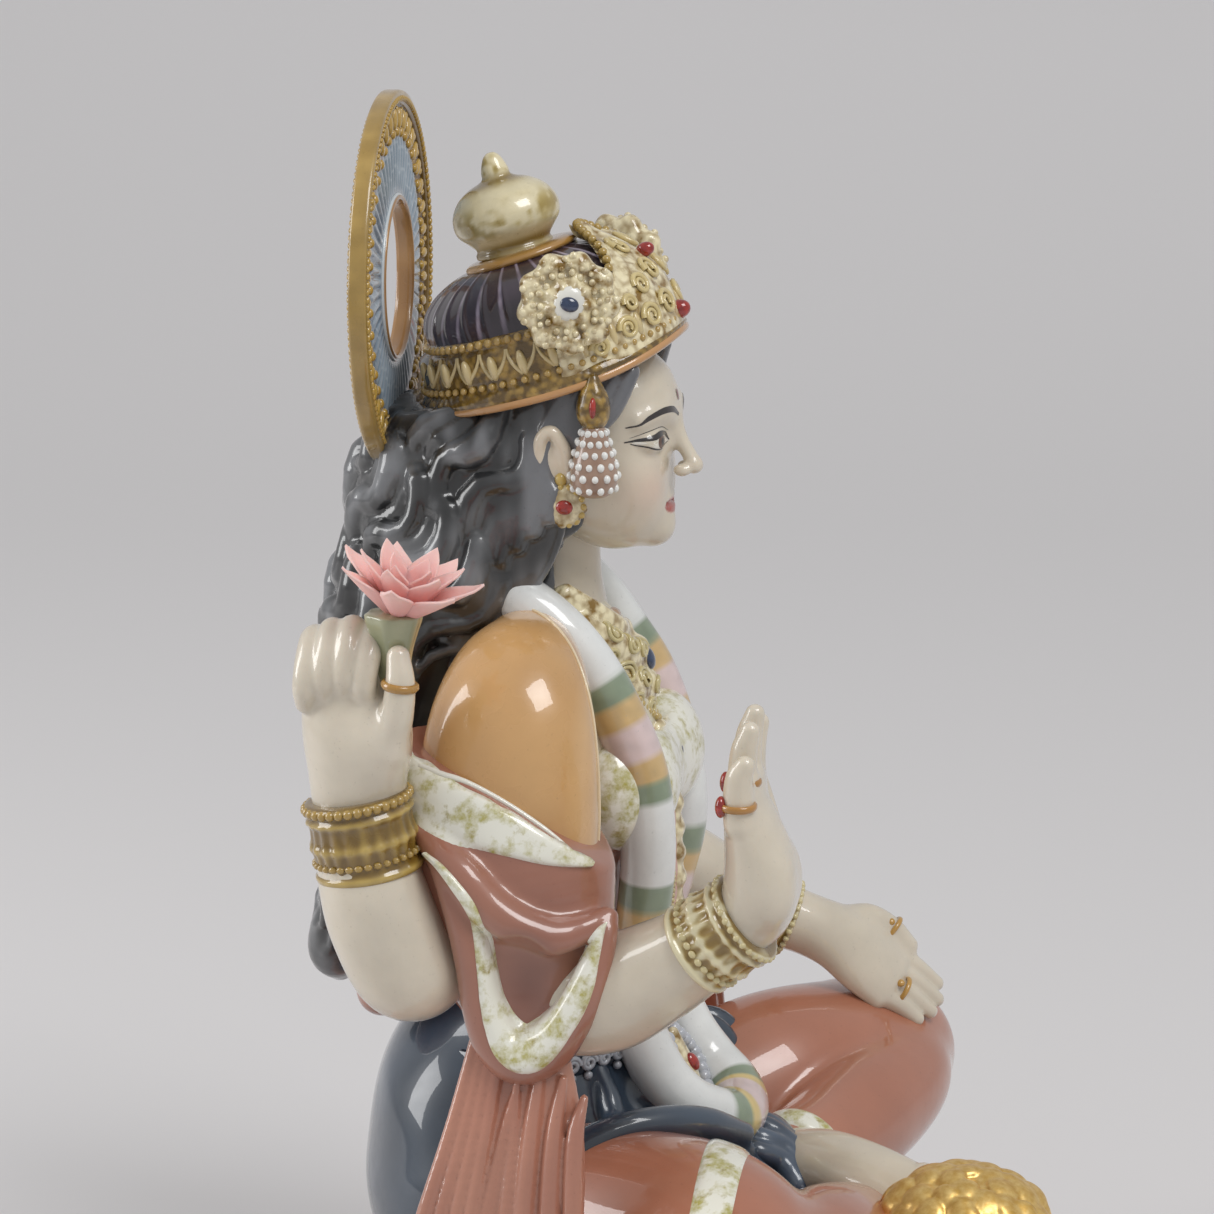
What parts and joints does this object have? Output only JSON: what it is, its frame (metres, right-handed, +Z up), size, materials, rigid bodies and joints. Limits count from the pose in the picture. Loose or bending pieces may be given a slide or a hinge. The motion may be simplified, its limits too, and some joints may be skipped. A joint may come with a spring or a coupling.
{
  "type": "deity statuette",
  "caption": "Glazed porcelain statuette of a seated, many-armed goddess with a halo, crown, garland and lotus flowers, on a lotus seat with a pot of gold coins.",
  "frame": {"origin": "centre of the underside, on the plane of the foot ring that the statuette stands on", "axes": "+Z up; the figure faces -Y, so its right side is at -X; +X is the figure's left"},
  "size_m": [0.2668, 0.2406, 0.378],
  "materials": {
    "white_glaze": "white porcelain under clear glaze",
    "seat_rose": "pale rose porcelain under clear glaze",
    "skirt_blue": "dark slate blue glaze",
    "bodice_cream": "cream porcelain mottled with gold under clear glaze",
    "shawl_terracotta": "pinkish terracotta glaze",
    "skin": "warm cream porcelain under clear glaze",
    "olive_gold": "fired olive gold lustre over porcelain",
    "halo_blue": "blue-grey glaze over fluted rays",
    "caramel": "translucent caramel glaze",
    "hair_charcoal": "charcoal glaze with grey brushed streaks",
    "crown_purple": "dark purple glaze",
    "trim_cream_gold": "cream glaze mottled with olive gold",
    "pearl_brown": "brown-grey pearl beads in glaze",
    "stem_green": "muted green stain",
    "pink_bisque": "unglazed pink bisque porcelain",
    "bright_gold": "bright fired gold"
  },
  "bodies": {
    "root": {"plinth": "white_glaze", "lotus_core": "seat_rose", "lotus_upper_petals": "seat_rose", "lotus_lower_petals": "seat_rose", "hips": "skirt_blue", "torso": "bodice_cream", "right_leg": "shawl_terracotta", "left_leg": "shawl_terracotta", "left_foot": "skin", "right_foot": "skin", "neck": "skin", "head": "skin", "halo_rim": "olive_gold", "halo_disc": "halo_blue", "halo_hole_ring": "caramel", "right_sleeve": "caramel", "left_sleeve": "caramel", "right_shawl": "shawl_terracotta", "left_shawl": "shawl_terracotta", "right_shawl_pleats": "shawl_terracotta", "left_shawl_pleats": "shawl_terracotta", "hair": "hair_charcoal", "crown_band": "olive_gold", "crown_cap": "crown_purple", "crown_finial": "trim_cream_gold", "crown_front_plate": "olive_gold", "right_crown_rosette": "trim_cream_gold", "left_crown_rosette": "trim_cream_gold", "right_temple_drop": "olive_gold", "left_temple_drop": "olive_gold", "right_pearl_cluster": "pearl_brown", "left_pearl_cluster": "pearl_brown", "right_ear_stud": "olive_gold", "left_ear_stud": "olive_gold", "right_rear_bracelet": "olive_gold", "left_rear_bracelet": "olive_gold", "right_rear_arm": "skin", "left_rear_arm": "skin", "right_rear_hand": "skin", "left_rear_hand": "skin", "right_lotus_stem": "stem_green", "left_lotus_stem": "stem_green", "right_lotus_flower": "pink_bisque", "left_lotus_flower": "pink_bisque", "right_front_bracelet": "olive_gold", "left_front_bracelet": "olive_gold", "right_forearm": "skin", "left_forearm": "skin", "right_front_hand": "skin", "left_front_hand": "skin", "lap_pendant": "pearl_brown", "garland": "white_glaze", "necklace": "olive_gold", "belt": "pearl_brown", "sash_knot": "skirt_blue", "right_leg_hem": "trim_cream_gold", "left_leg_hem": "trim_cream_gold", "coin_pot": "bright_gold", "coin_heap": "bright_gold"}
  },
  "joints": []
}
